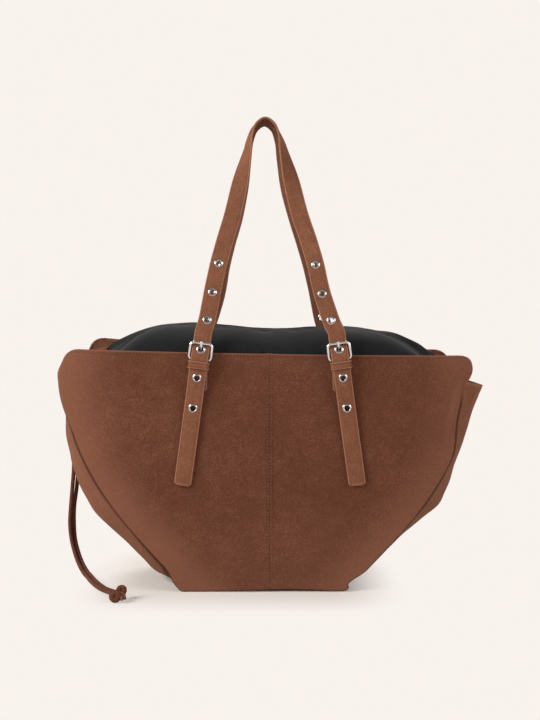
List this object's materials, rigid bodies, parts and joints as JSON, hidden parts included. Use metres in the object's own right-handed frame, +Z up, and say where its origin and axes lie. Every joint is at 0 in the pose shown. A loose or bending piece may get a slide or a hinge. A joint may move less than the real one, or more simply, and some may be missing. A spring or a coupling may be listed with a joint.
{
  "type": "shopper bag",
  "caption": "Soft suede shopper bag with winged panels, folded side gussets, a drawn nylon collar, a knotted drawstring and buckled shoulder straps that fold down.",
  "frame": {"origin": "middle of the base, on the surface the bag stands on", "axes": "+Z up, -Y towards the front, +X to the right seen from the front"},
  "size_m": [0.5095, 0.2044, 0.5547],
  "materials": {
    "suede": "napped brown suede",
    "nylon": "black plain-weave nylon",
    "nickel": "polished nickel",
    "suede_cord": "round suede cord"
  },
  "bodies": {
    "bag": {"back_left_buckle_frame": "nickel", "back_left_chape": "suede", "back_left_keeper": "suede", "back_left_strap_tail": "suede", "back_left_tail_eyelet_1": "nickel", "back_left_tail_eyelet_2": "nickel", "back_left_tail_eyelet_3": "nickel", "back_panel_left": "suede", "back_panel_right": "suede", "back_right_buckle_frame": "nickel", "back_right_chape": "suede", "back_right_keeper": "suede", "back_right_strap_tail": "suede", "back_right_tail_eyelet_1": "nickel", "back_right_tail_eyelet_2": "nickel", "back_right_tail_eyelet_3": "nickel", "base_panel": "suede", "collar_back": "nylon", "collar_front": "nylon", "cord_knot": "suede_cord", "cord_strand_back": "suede_cord", "cord_strand_front": "suede_cord", "front_left_buckle_frame": "nickel", "front_left_chape": "suede", "front_left_keeper": "suede", "front_left_strap_tail": "suede", "front_left_tail_eyelet_1": "nickel", "front_left_tail_eyelet_2": "nickel", "front_left_tail_eyelet_3": "nickel", "front_panel_left": "suede", "front_panel_right": "suede", "front_right_buckle_frame": "nickel", "front_right_chape": "suede", "front_right_keeper": "suede", "front_right_strap_tail": "suede", "front_right_tail_eyelet_1": "nickel", "front_right_tail_eyelet_2": "nickel", "front_right_tail_eyelet_3": "nickel", "gusset_left": "suede", "gusset_right": "suede", "lining_bag": "nylon"},
    "front_handle": {"front_handle_strap": "suede", "front_left_leg_eyelet_1": "nickel", "front_left_leg_eyelet_2": "nickel", "front_left_leg_eyelet_3": "nickel", "front_right_leg_eyelet_1": "nickel", "front_right_leg_eyelet_2": "nickel", "front_right_leg_eyelet_3": "nickel"},
    "back_handle": {"back_handle_strap": "suede", "back_left_leg_eyelet_1": "nickel", "back_left_leg_eyelet_2": "nickel", "back_left_leg_eyelet_3": "nickel", "back_right_leg_eyelet_1": "nickel", "back_right_leg_eyelet_2": "nickel", "back_right_leg_eyelet_3": "nickel"},
    "front_left_prong": {"front_left_buckle_prong": "nickel"},
    "front_right_prong": {"front_right_buckle_prong": "nickel"},
    "back_left_prong": {"back_left_buckle_prong": "nickel"},
    "back_right_prong": {"back_right_buckle_prong": "nickel"}
  },
  "joints": [
    {"name": "front_handle_fold", "type": "hinge", "parent": "bag", "child": "front_handle", "pos_m": [0, -0.0824, 0.294], "axis": [1, 0, 0], "range_deg": [0, 185]},
    {"name": "back_handle_fold", "type": "hinge", "parent": "bag", "child": "back_handle", "pos_m": [0, 0.0824, 0.294], "axis": [-1, 0, 0], "range_deg": [0, 185]},
    {"name": "front_left_prong_pivot", "type": "hinge", "parent": "bag", "child": "front_left_prong", "pos_m": [-0.0773, -0.0786, 0.2692], "axis": [0.9903, 0, -0.1392], "range_deg": [0, 2]},
    {"name": "front_right_prong_pivot", "type": "hinge", "parent": "bag", "child": "front_right_prong", "pos_m": [0.0832, -0.0786, 0.2692], "axis": [0.9903, 0, 0.1392], "range_deg": [0, 2]},
    {"name": "back_left_prong_pivot", "type": "hinge", "parent": "bag", "child": "back_left_prong", "pos_m": [-0.0832, 0.0786, 0.2692], "axis": [-0.9903, 0, 0.1392], "range_deg": [0, 2]},
    {"name": "back_right_prong_pivot", "type": "hinge", "parent": "bag", "child": "back_right_prong", "pos_m": [0.0773, 0.0786, 0.2692], "axis": [-0.9903, 0, -0.1392], "range_deg": [0, 2]}
  ]
}
